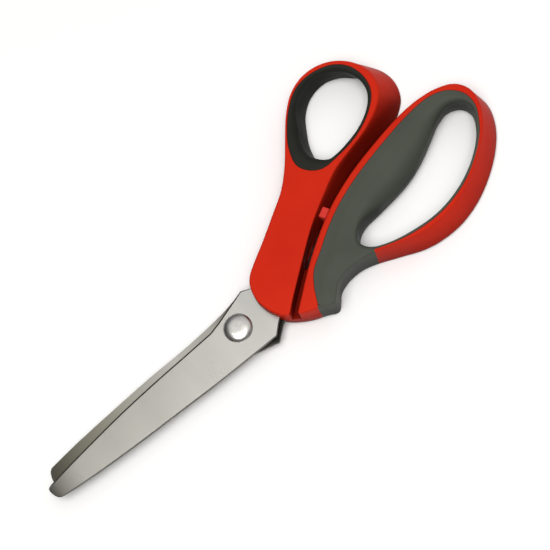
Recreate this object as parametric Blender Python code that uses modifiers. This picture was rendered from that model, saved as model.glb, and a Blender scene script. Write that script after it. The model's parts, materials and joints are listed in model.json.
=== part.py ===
"""Pinking shears: two corrugated blades on one pivot bolt, with moulded handles and soft grips.

Lengths in the tables below are millimetres about the pivot: +X runs to the blade tips, +Y to the
finger handle and +Z to the domed head of the bolt. Everything is parented to two empties on the
pivot axis, which place it in the part's frame: the origin is at the middle of the footprint, on the
plane that the handles rest on.
"""

import math

import bmesh
import bpy
import numpy as np
from mathutils import Matrix, Vector
from mathutils.geometry import tessellate_polygon

MM = 0.001
NAME = "pinking_shears"

# ---- where the pivot stands in the part's frame ----
PIVOT_X = 19.89
PIVOT_Y = 18.71
PIVOT_Z = 8.0

# ---- blades ----
PLATE = 1.6  # thickness of each blade
BODY_GAP = 2.6  # between the blades' inner faces
TOOTH_PITCH = 4.0
TOOTH_RISE = 1.0  # each tooth stands this far either side of the middle plane
TOOTH_CLEARANCE = 0.3
BAND = 6.2  # width of the toothed band along a cutting edge
BAND_COVER = 0.85  # of the width that the blades share, at most
TEETH_FROM = 12.0
TEETH_TO = 88.0
CREST_FROM = 8.0  # the corrugated cutter's first crest, and how far it runs on past the teeth
CREST_BEYOND = 12.0
CUTTER_STEPS = 120
CUTTER_REACH = 5.0  # how far cutters run past the faces that they cut
CUTTER_ENDS = (-70.0, 110.0)
CUTTER_SIDE = 45.0
BLANK_SPARE = 0.4  # thickness of the blank beyond the teeth's crests
INNER = BODY_GAP / 2
OUTER = INNER + PLATE
TIP_GRIND_FROM = 84.0
TIP_GRIND_REACH = 20.0
TIP_GRIND_SLOPE = 0.05
KEY_RADIUS = 1.6  # posts moulded through the holes in the tangs
KEY_HOLE_RADIUS = 2.0
KEY_ROOT = 0.8

# ---- pivot ----
HEAD_RADIUS = 6.0
HEAD_RISE = 1.8
HEAD_RIM = 0.5
SHANK_RADIUS = 3.0
HOLE_RADIUS = 3.2
GAP = 0.3  # between neighbouring solids
SPACER_RADIUS = 7.0
FLAT_WASHER = (5.6, 0.7)  # radius, thickness
WAVE_WASHER = (5.2, 0.4, 0.25)  # radius, thickness, wave height
NUT = (4.8, 1.9)  # radius, thickness
NUT_SLOT = (2.0, 1.4, 1.6)  # along, across and deep, about a point on the rim of the nut's face
TAIL_CHAMFER = 0.3
ROUND = 32

# ---- handles ----
FRONT = 8.0
BACK = -8.0
SHELF = 0.2  # the lapped noses part about the middle plane
SHELF_FALL = 0.2
NOSE_SAMPLES = 2  # outline samples for each span of an outline
THUMB_SPAN = (-40.0, -64.0)  # the stretch of arm over which the ring's lean and flares set in
THUMB_LEAN = (-7.2, 2.9)  # how far the ring's back stands from its front
THUMB_PALM_FLARE = (3.5, -3.0)  # how far more the walls that face this way spread to the back
THUMB_OUTER_FLARE = (-1.4, 0.0)
FINGER_SPAN = (-52.0, -85.0)
FINGER_LEAN = (0.0, 0.0)
FINGER_FLARE = (-4.0, 4.4)
FINGER_HOLE_FLARE = (-0.5, -2.2)
OUTER_EDGE = 0.9
BACK_EDGE = 2.5
HOLE_BACK_EDGE = 1.5
EDGE_SHARE = 0.75  # of the room to a ring's middle, the most that a rounded edge may take
EDGE_TAPER = 0.45  # how fast a rounded edge may narrow towards a sharp corner, per length of outline
SKIN = 2.2  # rubber over the red core
TANG_CLEARANCE = 0.3
LIMIT_REACH = 3.0  # how far the solids that part core from rubber run past both faces

RED = (0.62, 0.045, 0.02)
GREY = (0.07, 0.075, 0.065)
STEEL = (0.62, 0.61, 0.58)

# ---- outlines ----
FRONT_BLADE = {
    "spine": [(95.8, 4.8), (90, 5.8), (80, 7.1), (60, 9.0), (40, 10.4), (20, 11.8), (-9.5, 13.0)],
    "edge": [(10, -6.2), (25, -6.1), (40, -6.0), (60, -5.3), (80, -3.8), (97, -2.3)],
    "tip": [(99.2, -1.5), (99.2, 1.5), (97.9, 4.0)],
    "shoulder": [(-10.5, -11.3), (-5, -9.9), (0, -8.6), (5, -7.2)],
    "tang": [(-15.4, 8.0), (-18.5, 6.0), (-34, -6.0), (-50, -16.5), (-56.5, -21.0), (-58.3, -24.5),
             (-56.0, -27.8), (-50, -25.5), (-34, -16.5), (-18.5, -9.6), (-14, -9.6)],
    "keys": [(-31, -9.6), (-50, -21.4)],
}
REAR_BLADE = {
    "spine": [(93.6, -8.5), (80, -9.4), (60, -9.9), (40, -10.1), (20, -9.7), (0, -10.6), (-10.5, -12.4)],
    "edge": [(10, 9.2), (25, 7.8), (40, 6.2), (60, 4.3), (80, 1.7), (94.5, -1.4)],
    "tip": [(96.2, -2.8), (96.1, -4.8), (94.7, -7.7)],
    "shoulder": [(-8.8, 14.6), (-3, 12.9), (2, 11.5), (6, 10.2)],
    "tang": [(-14.5, -8.0), (-18.5, -5.0), (-30, 2.0), (-40, 4.2), (-47.0, 2.8), (-49.6, 5.0),
             (-47.5, 8.4), (-40, 9.8), (-30, 13.0), (-20.5, 11.2), (-15.7, 9.4)],
    "keys": [(-28, 7.2), (-43, 6.2)],
}

THUMB_NOSE = [(-37.2, -2.1), (-30, 3.1), (-24, 7.5), (-19.8, 10.7), (-18.4, 11.4), (-17.1, 10.6),
              (-15.3, 8), (-13.6, 4), (-12.8, -1), (-13.3, -5), (-14.8, -9), (-17.3, -12), (-21, -14.4)]
THUMB_WEDGE = [(-37.2, -2.5), (-34, -4.7), (-31.5, -6.6), (-29, -8.4), (-27, -9.9), (-25.2, -11.2),
               (-23.8, -12.3), (-22.7, -13.1), (-21.9, -13.7), (-21.6, -14.5), (-22.4, -15.1),
               (-23.6, -15.8), (-25, -16.6)]
THUMB_REST = [(-31, -19.8), (-40, -25), (-50, -31), (-57, -37.2), (-65, -46), (-73, -54.8), (-81, -61.0),
              (-90, -63.6), (-99, -62), (-106, -57), (-110, -50), (-110.6, -43), (-107.5, -35.6),
              (-101, -30.6), (-92, -26.9), (-82, -24.7), (-72, -22.3), (-62, -17.6), (-50, -11)]
THUMB_HOLE = [(-68.4, -36.6), (-69.8, -32.3), (-72.8, -29.2), (-78, -27.9), (-85, -28.6), (-92, -30.4),
              (-99, -34.2), (-103.6, -39.5), (-105, -46), (-103, -53), (-98, -58), (-91.5, -60.3),
              (-84.5, -59.2), (-78, -55.0), (-72.8, -47.9), (-69.6, -42.1)]
THUMB_PARTING = [(-61.9, -34.7), (-64.3, -29.4), (-69, -26.2), (-77, -26.0), (-85, -26.8), (-92, -28.7),
                 (-100, -32.8), (-105.6, -38.2), (-107.7, -45.5), (-106.2, -53.4), (-101, -59.0),
                 (-91.5, -61.9), (-83.4, -60.9), (-76, -56.4), (-69.4, -49.8), (-64.4, -42.8)]

FINGER_WEDGE = [(-37.2, 1.6), (-34, 3.9), (-31.5, 5.7), (-29, 7.6), (-27, 9.1), (-25.2, 10.4),
                (-23.8, 11.5), (-22.8, 12.4), (-22, 13.2), (-22, 14.0), (-22.9, 14.6), (-23.9, 15.1),
                (-25, 15.6)]
FINGER_NOSE = [(-37.2, -0.6), (-30, -5.0), (-24, -9.2), (-20.4, -11.6), (-18.6, -12.0), (-17.2, -11),
               (-15.4, -8), (-14.2, -4), (-13.8, 1), (-14.7, 5.3), (-16.6, 8.8), (-20.3, 12.4), (-25, 15.6)]
FINGER_REST = [(-31.5, 18.5), (-34.2, 19.8), (-36, 19.8), (-38.2, 18.0), (-41, 15.4), (-45, 13.8),
               (-50, 13.3), (-55, 13.8), (-61, 15.2), (-68, 17.8), (-77, 21), (-86, 22.5), (-95, 22.2),
               (-105, 19.6), (-115, 14.8), (-124, 8.6), (-130.5, 2), (-134.4, -5), (-135.2, -11),
               (-132.4, -16.8), (-125, -20.7), (-115, -22.3), (-105, -22), (-90, -19.8), (-75, -16.6),
               (-60, -11.4), (-48, -5.2)]
FINGER_HOLE = [(-59.3, 8.0), (-61.0, 4.0), (-66, 1.7), (-74, 1.7), (-83, 1.5), (-92, 0.2), (-101, -2.6),
               (-110, -6.8), (-118, -10.6), (-124, -11.7), (-129, -9.3), (-130.6, -4.5), (-128.3, 0.3),
               (-122, 7.6), (-113, 13.8), (-102, 18.2), (-90, 20), (-78, 18.8), (-68, 15.8),
               (-61.9, 12.8)]
FINGER_PARTING = [(-38, 4.2), (-45, 0), (-52, -4.3), (-60, -8.4), (-70, -12.2), (-80, -14.9), (-95, -17.8),
                  (-110, -19.8), (-121, -19.6), (-128, -16.7), (-132.2, -11), (-132.3, -4.5),
                  (-129.4, 1.2), (-122.8, 8.8), (-113.6, 14.9), (-102.3, 19.3), (-90, 21.1),
                  (-77.8, 19.9), (-67.6, 17.0), (-62.4, 14.6), (-61.2, 18), (-60.4, 26), (-50, 28),
                  (-30, 28), (-28.4, 22), (-30.2, 16.6), (-33.5, 9.6)]

BUMPER = {"at": (-57.05, -12.9), "turn": 28.8, "size": (4.6, 4.2, 9.0), "stem": (1.4, 3.0), "z": 0.5}


def material(name, colour, roughness, metallic=0.0):
    made = bpy.data.materials.new(name)
    made.use_nodes = True
    shader = made.node_tree.nodes["Principled BSDF"]
    shader.inputs["Base Color"].default_value = (*colour, 1.0)
    shader.inputs["Roughness"].default_value = roughness
    shader.inputs["Metallic"].default_value = metallic
    return made


# ---- curves through points ----


def through(points, per_span, closed=True):
    """Samples of a centripetal Catmull-Rom curve through the points."""
    pts = np.array(points, float)
    count = len(pts)
    spans = count if closed else count - 1
    out = []
    for i in range(spans):
        if closed:
            quad = [pts[(i + k) % count] for k in (-1, 0, 1, 2)]
        else:
            quad = [pts[min(max(i + k, 0), count - 1)] for k in (-1, 0, 1, 2)]
        out.extend(span(quad, per_span))
    if not closed:
        out.append(pts[-1])
    return np.array(out)


def span(quad, steps):
    """The stretch between the middle two of four points."""
    p0, p1, p2, p3 = quad
    t1 = math.sqrt(np.linalg.norm(p1 - p0)) or 1e-6
    t2 = t1 + math.sqrt(np.linalg.norm(p2 - p1))
    t3 = t2 + (math.sqrt(np.linalg.norm(p3 - p2)) or 1e-6)
    made = []
    for k in range(steps):
        t = t1 + (t2 - t1) * k / steps
        a1 = p0 * (t1 - t) / t1 + p1 * t / t1
        a2 = p1 * (t2 - t) / (t2 - t1) + p2 * (t - t1) / (t2 - t1)
        a3 = p2 * (t3 - t) / (t3 - t2) + p3 * (t - t2) / (t3 - t2)
        b1 = a1 * (t2 - t) / t2 + a2 * t / t2
        b2 = a2 * (t3 - t) / (t3 - t1) + a3 * (t - t1) / (t3 - t1)
        made.append(b1 * (t2 - t) / (t2 - t1) + b2 * (t - t1) / (t2 - t1))
    return made


def signed_area(loop):
    x, y = loop[:, 0], loop[:, 1]
    return 0.5 * np.sum(x * np.roll(y, -1) - np.roll(x, -1) * y)


def outward(loop):
    """Unit normals of a closed loop, away from what it encloses."""
    tangent = np.roll(loop, -1, 0) - np.roll(loop, 1, 0)
    tangent /= np.linalg.norm(tangent, axis=1)[:, None]
    normal = np.stack([tangent[:, 1], -tangent[:, 0]], 1)
    return normal * np.sign(signed_area(loop))


def room_inside(loop, into, *walls):
    """For each point of a loop, how far an edge may round off into the material and miss every wall."""
    steps = [wall + (np.roll(wall, -1, 0) - wall) * part for wall in walls for part in (0, 0.25, 0.5, 0.75)]
    apart = np.concatenate(steps)[None] - loop[:, None]
    ahead = np.einsum("ijk,ik->ij", apart, into)
    reach = np.where(ahead > 1e-3, np.sum(apart**2, 2) / (2 * np.maximum(ahead, 1e-3)), 1e3)
    room = EDGE_SHARE * reach.min(1)
    along = np.linalg.norm(loop[:, None] - loop[None], axis=2)
    return (room[None] + EDGE_TAPER * along).min(1)


def smoothstep(value):
    value = np.clip(value, 0, 1)
    return value * value * (3 - 2 * value)


def lean_of(loop, between, lean, *flares):
    """How far each point of a closed loop stands at the back from where it is at the front: the whole
    loop shifts by lean, and the walls that face along a flare stand out by it."""
    start, end = between
    share = smoothstep((loop[:, 0] - start) / (end - start))[:, None]
    normal = outward(loop)
    spread = sum(np.maximum(normal @ flare, 0)[:, None] * normal for flare in flares)
    return share * (np.array(lean) + spread)


# ---- ring-shaped mouldings, lofted between unlike outlines ----


class Ring:
    """A closed moulding round one hole: outlines above and below its shelf, a hole, the lean and flares
    of the outer wall and of the hole's, and the smallest and widest roll of the hole's front edge."""

    def __init__(self, above, below, hole, outer_lean, hole_lean, shelf, roll):
        self.above = through(above, NOSE_SAMPLES)
        self.below = through(below, NOSE_SAMPLES)
        self.hole = through(hole, NOSE_SAMPLES)
        self.above_lean = lean_of(self.above, *outer_lean)
        self.below_lean = lean_of(self.below, *outer_lean)
        self.hole_lean = lean_of(self.hole, *hole_lean)
        self.shelf = shelf
        self.roll = roll

    def outer_wall(self, z):
        upper = z > self.shelf - SHELF_FALL / 2
        loop, lean = (self.above, self.above_lean) if upper else (self.below, self.below_lean)
        return loop + lean * (FRONT - z) / (FRONT - BACK)

    def hole_wall(self, z):
        depth = np.broadcast_to((FRONT - z) / (FRONT - BACK), (len(self.hole),))
        return self.hole + depth[:, None] * self.hole_lean

    def outer_at(self, z, inset):
        loop = self.outer_wall(z)
        room = room_inside(loop, -outward(loop), loop, self.hole_wall(z))
        return loop - outward(loop) * np.minimum(inset, room)[:, None]

    def inner_at(self, z, inset):
        loop = self.hole_wall(z)
        room = room_inside(loop, outward(loop), self.outer_wall(np.mean(z)))
        return loop + outward(loop) * np.minimum(inset, room)[:, None]

    def rolls(self):
        """The hole's front roll: wide on the palm side, small on the outer arm."""
        small, wide = self.roll
        wanted = small + (wide - small) * np.clip(0.5 - 0.5 * outward(self.hole)[:, 1], 0, 1)
        return np.minimum(wanted, room_inside(self.hole, outward(self.hole), self.above))

    def outer_rows(self):
        """(loop, heights) down the outer wall, from the front face to the back one."""
        rows = [(FRONT - drop, inset) for inset, drop in reversed(fillet(OUTER_EDGE, 2))]
        rows += [(self.shelf, 0.0), (self.shelf - SHELF_FALL, 0.0)]
        rows += [(BACK + drop, inset) for inset, drop in fillet(BACK_EDGE, 3)]
        return [(self.outer_at(z, inset), z) for z, inset in rows]

    def inner_rows(self):
        """(loop, heights) down the hole's wall, from the front face to the back one."""
        rolls = self.rolls()
        rows = []
        for share, drop in reversed(fillet(1.0, 4)):
            heights = FRONT - drop * rolls
            rows.append((self.inner_at(heights, share * rolls), heights))
        for inset, drop in fillet(HOLE_BACK_EDGE, 2):
            rows.append((self.inner_at(BACK + drop, inset), BACK + drop))
        return rows


def fillet(size, steps):
    """(inset, drop) pairs round a quarter circle, from the wall to the face."""
    angles = [math.pi / 2 * k / steps for k in range(steps + 1)]
    return [(size * (1 - math.cos(a)), size * (1 - math.sin(a))) for a in angles]


def wall(mesh, rows):
    """Quads down a stack of closed rows. Returns the first and last row of vertices."""
    grid = []
    for loop, height in rows:
        heights = np.broadcast_to(height, (len(loop),))
        grid.append([mesh.verts.new((x * MM, y * MM, z * MM)) for (x, y), z in zip(loop, heights)])
    for a, b in zip(grid, grid[1:]):
        for i in range(len(a)):
            j = (i + 1) % len(a)
            mesh.faces.new((a[i], a[j], b[j], b[i]))
    return grid[0], grid[-1]


def ring_mesh(name, ring):
    """The moulding: an outer wall, the hole's wall, and flat faces between their ends."""
    mesh = bmesh.new()
    outer_ends = wall(mesh, ring.outer_rows())
    inner_ends = wall(mesh, ring.inner_rows())
    for outer, inner in zip(outer_ends, inner_ends):
        verts = [*outer, *inner]
        flat = [[Vector((v.co.x, v.co.y, 0)) for v in loop] for loop in (outer, inner)]
        for corners in tessellate_polygon(flat):
            mesh.faces.new([verts[i] for i in corners])
    bmesh.ops.recalc_face_normals(mesh, faces=mesh.faces)
    return finish_mesh(name, mesh)


def finish_mesh(name, mesh):
    if mesh.calc_volume(signed=True) < 0:
        bmesh.ops.reverse_faces(mesh, faces=mesh.faces)
    data = bpy.data.meshes.new(name)
    mesh.to_mesh(data)
    mesh.free()
    return bpy.data.objects.new(name, data)


# ---- flat and turned shapes ----


def plate(name, outline, low, high):
    """A flat outline given thickness: a 2D curve, filled on both sides, made a mesh."""
    curve = bpy.data.curves.new(name, "CURVE")
    curve.dimensions = "2D"
    curve.fill_mode = "BOTH"
    curve.extrude = (high - low) / 2 * MM
    spline = curve.splines.new("POLY")
    spline.points.add(len(outline) - 1)
    for point, (x, y) in zip(spline.points, outline):
        point.co = (x * MM, y * MM, 0, 1)
    spline.use_cyclic_u = True
    return meshed(name, curve, (0, 0, (low + high) / 2))


def meshed(name, curve, location):
    """The curve's evaluated shape as a welded mesh object, with the curve removed."""
    flat = bpy.data.objects.new(name + "_outline", curve)
    flat.location = [value * MM for value in location]
    bpy.context.scene.collection.objects.link(flat)
    bpy.context.view_layer.update()
    depsgraph = bpy.context.evaluated_depsgraph_get()
    data = bpy.data.meshes.new_from_object(flat.evaluated_get(depsgraph))
    data.transform(flat.matrix_world)
    mesh = bmesh.new()
    mesh.from_mesh(data)
    bmesh.ops.remove_doubles(mesh, verts=mesh.verts, dist=0.00001)
    bmesh.ops.recalc_face_normals(mesh, faces=mesh.faces)
    bpy.data.objects.remove(flat)
    return finish_mesh(name, mesh)


def prism(name, low_loop, low, high_loop, high):
    """A closed solid between two loops of the same count at two heights."""
    mesh = bmesh.new()
    bottom = [mesh.verts.new((x * MM, y * MM, low * MM)) for x, y in low_loop]
    top = [mesh.verts.new((x * MM, y * MM, high * MM)) for x, y in high_loop]
    count = len(bottom)
    for i in range(count):
        j = (i + 1) % count
        mesh.faces.new((bottom[i], bottom[j], top[j], top[i]))
    caps = [mesh.faces.new(bottom[::-1]), mesh.faces.new(top)]
    bmesh.ops.triangulate(mesh, faces=caps)
    bmesh.ops.recalc_face_normals(mesh, faces=mesh.faces)
    return finish_mesh(name, mesh)


def turned(name, profile, steps=ROUND):
    """A profile of (radius, height) points turned about the pivot axis with a Screw modifier."""
    mesh = bmesh.new()
    verts = [mesh.verts.new((r * MM, 0, z * MM)) for r, z in profile]
    pairs = zip(verts, verts[1:] + verts[:1]) if profile[0][0] > 0 else zip(verts, verts[1:])
    for a, b in pairs:
        mesh.edges.new((a, b))
    data = bpy.data.meshes.new(name)
    mesh.to_mesh(data)
    mesh.free()
    made = bpy.data.objects.new(name, data)
    screw = made.modifiers.new("turn", "SCREW")
    screw.steps = steps
    screw.render_steps = steps
    screw.use_merge_vertices = True
    screw.merge_threshold = 0.00001
    return made


def pin(name, at, radius, low, high, segments=16):
    """A plain round pin standing along Z."""
    mesh = bmesh.new()
    bmesh.ops.create_cone(
        mesh,
        cap_ends=True,
        segments=segments,
        radius1=radius * MM,
        radius2=radius * MM,
        depth=(high - low) * MM,
        matrix=Matrix.Translation(Vector((at[0], at[1], (low + high) / 2)) * MM),
    )
    return finish_mesh(name, mesh)


# ---- assembly helpers ----

parts = None
cutters = None


def add_part(made, surface, parent, smooth_below=35):
    """Puts a finished piece in the parts collection, with its material, on its body's empty."""
    parts.objects.link(made)
    made.data.materials.append(surface)
    made.parent = parent
    made.data.shade_smooth()
    made.data.set_sharp_from_angle(angle=math.radians(smooth_below))
    return made


def boolean(target, other, operation="DIFFERENCE"):
    """Adds an exact Boolean with another object, which stays hidden among the cutters."""
    if other.name not in cutters.objects:
        cutters.objects.link(other)
        other.parent = target.parent
        other.hide_render = True
        other.display_type = "WIRE"
    modifier = target.modifiers.new(operation.lower(), "BOOLEAN")
    modifier.operation = operation
    modifier.solver = "EXACT"
    modifier.object = other


# ---- blades ----


def blade_outline(blade):
    spine = through(blade["spine"], 2, closed=False)
    edge = through(blade["edge"], 2, closed=False)
    shoulder = blade["shoulder"]
    return [tuple(p) for p in (*spine, *blade["tang"], *shoulder, *edge, *blade["tip"])]


def band_at(x):
    """How wide the toothed band is, so that neither blade's teeth show beyond the other blade."""
    rear, front = (np.interp(x, *zip(*shape["edge"])) for shape in (REAR_BLADE, FRONT_BLADE))
    return min(BAND, BAND_COVER * (rear - front))


def relief_outline(blade):
    """Everything but the toothed band: the line one band's width in from the cutting edge, and round."""
    edge = through(blade["edge"], 2, closed=False)
    side = 1 if edge[0][1] < 0 else -1
    inner = [(x, y + side * band_at(x)) for x, y in edge if x < TEETH_TO]
    near = -side * CUTTER_SIDE
    far = side * CUTTER_SIDE
    heel, nose = CUTTER_ENDS
    start = (TEETH_FROM, near)
    band = [(TEETH_FROM, inner[0][1])] + [p for p in inner if p[0] > TEETH_FROM] + [(TEETH_TO, inner[-1][1])]
    return [start, *band, (TEETH_TO, near), (nose, near), (nose, far), (heel, far), (heel, near)]


def zigzag_cutter(name, side):
    """A corrugated solid of revolution about the pivot: it shapes the teeth of one blade."""
    middle = side * TOOTH_CLEARANCE / 2
    half = TOOTH_PITCH / 2
    count = int((TEETH_TO + CREST_BEYOND) / half)
    crest = [(CREST_FROM + k * half, middle + TOOTH_RISE * (-1) ** k) for k in range(count)]
    far = -side * CUTTER_REACH
    profile = [*crest, (crest[-1][0], far), (crest[0][0], far)]
    return turned(name, profile[::side], CUTTER_STEPS)


def blade(name, shape, side, surface, parent):
    """One blade: side is 1 for the front one, whose teeth face down, and -1 for the rear one."""
    low, high = sorted((-side * (TOOTH_RISE + BLANK_SPARE), side * OUTER))
    made = plate(name, blade_outline(shape), low, high)
    add_part(made, surface, parent)
    low, high = sorted((-side * CUTTER_REACH, side * INNER))
    boolean(made, plate(name + "_relief", relief_outline(shape), low, high))
    boolean(made, zigzag_cutter(name + "_teeth", side))
    boolean(made, pin(name + "_pivot_hole", (0, 0), HOLE_RADIUS, -CUTTER_REACH, CUTTER_REACH, ROUND))
    for number, key in enumerate(shape["keys"]):
        boolean(made, pin(f"{name}_key_hole_{number}", key, KEY_HOLE_RADIUS, -CUTTER_REACH, CUTTER_REACH))
    boolean(made, tip_grind(name + "_grind", side))
    return made


def tip_grind(name, side):
    """A long thin wedge off the outer face, which thins the blade towards its tip."""
    end = TIP_GRIND_FROM + TIP_GRIND_REACH
    above = OUTER + CUTTER_REACH
    profile = [(TIP_GRIND_FROM, OUTER), (end, OUTER - TIP_GRIND_SLOPE * TIP_GRIND_REACH),
               (end, above), (TIP_GRIND_FROM, above)]
    mesh = bmesh.new()
    near = [mesh.verts.new((x * MM, -CUTTER_SIDE * MM, side * z * MM)) for x, z in profile]
    face = mesh.faces.new(near)
    swept = bmesh.ops.extrude_face_region(mesh, geom=[face])
    moved = [v for v in swept["geom"] if isinstance(v, bmesh.types.BMVert)]
    bmesh.ops.translate(mesh, verts=moved, vec=(0, 2 * CUTTER_SIDE * MM, 0))
    bmesh.ops.recalc_face_normals(mesh, faces=mesh.faces)
    return finish_mesh(name, mesh)


# ---- pivot ----


def dome(radius, rise, base, steps=5):
    """(radius, height) points over a low dome, from its top down to its rim."""
    sphere = (radius**2 + rise**2) / (2 * rise)
    half = math.asin(radius / sphere)
    angles = [half * k / steps for k in range(steps + 1)]
    return [(sphere * math.sin(a), base + rise - sphere + sphere * math.cos(a)) for a in angles]


def pivot_pieces(steel, parent):
    seat = OUTER + GAP
    crown = dome(HEAD_RADIUS, HEAD_RISE - HEAD_RIM, seat + HEAD_RIM)
    tail = -(OUTER + GAP) - FLAT_WASHER[1] - WAVE_WASHER[1] - WAVE_WASHER[2] - 2 * GAP - NUT[1]
    bolt = turned("pivot_bolt", [*crown, (HEAD_RADIUS, seat), (SHANK_RADIUS, seat),
                                 (SHANK_RADIUS, tail + TAIL_CHAMFER), (SHANK_RADIUS - TAIL_CHAMFER, tail),
                                 (0, tail)])
    add_part(bolt, steel, parent)
    half = INNER - GAP
    add_part(washer("blade_spacer_washer", SPACER_RADIUS, -half, half), steel, parent)
    top = -(OUTER + GAP)
    add_part(washer("flat_washer", FLAT_WASHER[0], top - FLAT_WASHER[1], top), steel, parent)
    top -= FLAT_WASHER[1] + GAP
    add_part(wave_washer(top), steel, parent)
    top -= WAVE_WASHER[1] + WAVE_WASHER[2] + GAP
    nut = washer("pivot_nut", NUT[0], top - NUT[1], top)
    add_part(nut, steel, parent)
    for turn in (0, 180):
        boolean(nut, slot_cutter(f"pivot_nut_slot_{turn}", turn, top - NUT[1]))


def washer(name, radius, low, high, bore=HOLE_RADIUS, edge=0.2):
    return turned(name, [(bore, high), (radius - edge, high), (radius, high - edge),
                         (radius, low + edge), (radius - edge, low), (bore, low)])


def wave_washer(top):
    """A ring that rises and falls three times in a turn."""
    radius, thick, wave = WAVE_WASHER
    mesh = bmesh.new()
    grid = []
    for k in range(36):
        angle = 2 * math.pi * k / 36
        lift = top - thick - wave / 2 + wave / 2 * math.cos(3 * angle)
        corners = [(HOLE_RADIUS, 0), (radius, 0), (radius, thick), (HOLE_RADIUS, thick)]
        grid.append([mesh.verts.new((r * math.cos(angle) * MM, r * math.sin(angle) * MM, (lift + z) * MM))
                     for r, z in corners])
    for a, b in zip(grid, grid[1:] + grid[:1]):
        for i in range(4):
            j = (i + 1) % 4
            mesh.faces.new((a[i], a[j], b[j], b[i]))
    return finish_mesh("wave_washer", mesh)


def slot_cutter(name, turn, low):
    """One of the two slots for the spanner in the nut's face."""
    mesh = bmesh.new()
    angle = math.radians(turn)
    at = Vector((math.cos(angle) * NUT[0], math.sin(angle) * NUT[0], low)) * MM
    size = Matrix.Diagonal((*(length * MM for length in NUT_SLOT), 1))
    place = Matrix.Translation(at) @ Matrix.Rotation(angle, 4, "Z") @ size
    bmesh.ops.create_cube(mesh, size=1.0, matrix=place)
    return finish_mesh(name, mesh)


# ---- handles ----


def leaning_prism(name, points, grow, leaning):
    """A prism on a closed outline that leans as a ring does, grown outward by a little."""
    loop = through(points, NOSE_SAMPLES)
    lean = lean_of(loop, *leaning)
    loop = loop + outward(loop) * grow
    over = LIMIT_REACH / (FRONT - BACK)
    return prism(name, loop + lean * (1 + over), BACK - LIMIT_REACH, loop - lean * over, FRONT + LIMIT_REACH)


def tang_pocket(name, shape, side):
    """The slot that a blade's tang lies in: the blade's own outline with a little clearance."""
    loop = np.array(blade_outline(shape), float)
    loop = loop + outward(loop) * TANG_CLEARANCE
    low, high = sorted((side * (INNER - TANG_CLEARANCE), side * (OUTER + TANG_CLEARANCE)))
    return plate(name, [tuple(p) for p in loop], low, high)


def add_keys(core, shape, side):
    """Posts moulded through the tang's holes."""
    for number, key in enumerate(shape["keys"]):
        low, high = sorted((side * (INNER - KEY_ROOT), side * (OUTER + KEY_ROOT)))
        boolean(core, pin(f"{core.name}_key_{number}", key, KEY_RADIUS, low, high), "UNION")


def thumb_handle(red, grey, parent):
    leaning = (THUMB_SPAN, THUMB_LEAN, THUMB_PALM_FLARE)
    ring = Ring(THUMB_NOSE + THUMB_REST, THUMB_WEDGE + THUMB_REST, THUMB_HOLE,
                (*leaning, THUMB_OUTER_FLARE), leaning, SHELF + SHELF_FALL, (1.4, 1.4))
    core = add_part(ring_mesh("thumb_handle_core", ring), red, parent)
    boolean(core, leaning_prism("thumb_core_opening", THUMB_PARTING, GAP, leaning))
    boolean(core, tang_pocket("front_tang_pocket", FRONT_BLADE, 1))
    add_keys(core, FRONT_BLADE, 1)
    boolean(core, bumper("bumper_socket", GAP, parent))
    liner = add_part(ring_mesh("thumb_soft_liner", ring), grey, parent)
    boolean(liner, leaning_prism("thumb_liner_limit", THUMB_PARTING, 0.0, leaning), "INTERSECT")
    add_part(bumper("handle_stop_bumper", 0.0, parent), grey, parent)


def bumper(name, grow, parent):
    """A small block with a round stem that plugs into the thumb handle's wall."""
    across, out, tall = BUMPER["size"]
    radius, length = BUMPER["stem"]
    turn = Matrix.Rotation(math.radians(BUMPER["turn"]), 4, "Z")
    at = Vector((BUMPER["at"][0], BUMPER["at"][1], BUMPER["z"])) * MM
    block = bmesh.new()
    size = Matrix.Diagonal(((across + 2 * grow) * MM, (out + 2 * grow) * MM, (tall + 2 * grow) * MM, 1))
    bmesh.ops.create_cube(block, size=1.0, matrix=Matrix.Translation(at) @ turn @ size)
    made = finish_mesh(name, block)
    made.parent = parent
    stem = bmesh.new()
    reach = length + grow
    lie = Matrix.Rotation(math.radians(90), 4, "X")
    offset = Matrix.Translation(Vector((0, -(out / 2 + reach / 2 - 0.5), 0)) * MM)
    bmesh.ops.create_cone(stem, cap_ends=True, segments=16, radius1=(radius + grow) * MM,
                          radius2=(radius + grow) * MM, depth=(reach + 1.0) * MM,
                          matrix=Matrix.Translation(at) @ turn @ offset @ lie)
    boolean(made, finish_mesh(name + "_stem", stem), "UNION")
    return made


def finger_handle(red, grey, parent):
    upright = (FINGER_SPAN, FINGER_LEAN)
    ring = Ring(FINGER_WEDGE + FINGER_REST, FINGER_NOSE + FINGER_REST, FINGER_HOLE,
                (*upright, FINGER_FLARE), (*upright, FINGER_HOLE_FLARE), -SHELF, (0.8, 8.0))
    core = add_part(ring_mesh("finger_handle_core", ring), red, parent)
    boolean(core, leaning_prism("finger_core_recess", FINGER_PARTING, GAP, upright))
    boolean(core, inner_core("finger_inner_core", 0.0), "UNION")
    boolean(core, tang_pocket("rear_tang_pocket", REAR_BLADE, -1))
    add_keys(core, REAR_BLADE, -1)
    grip = add_part(ring_mesh("finger_soft_grip", ring), grey, parent)
    boolean(grip, leaning_prism("finger_grip_limit", FINGER_PARTING, 0.0, upright), "INTERSECT")
    boolean(grip, inner_core("finger_grip_hollow", GAP))


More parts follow.
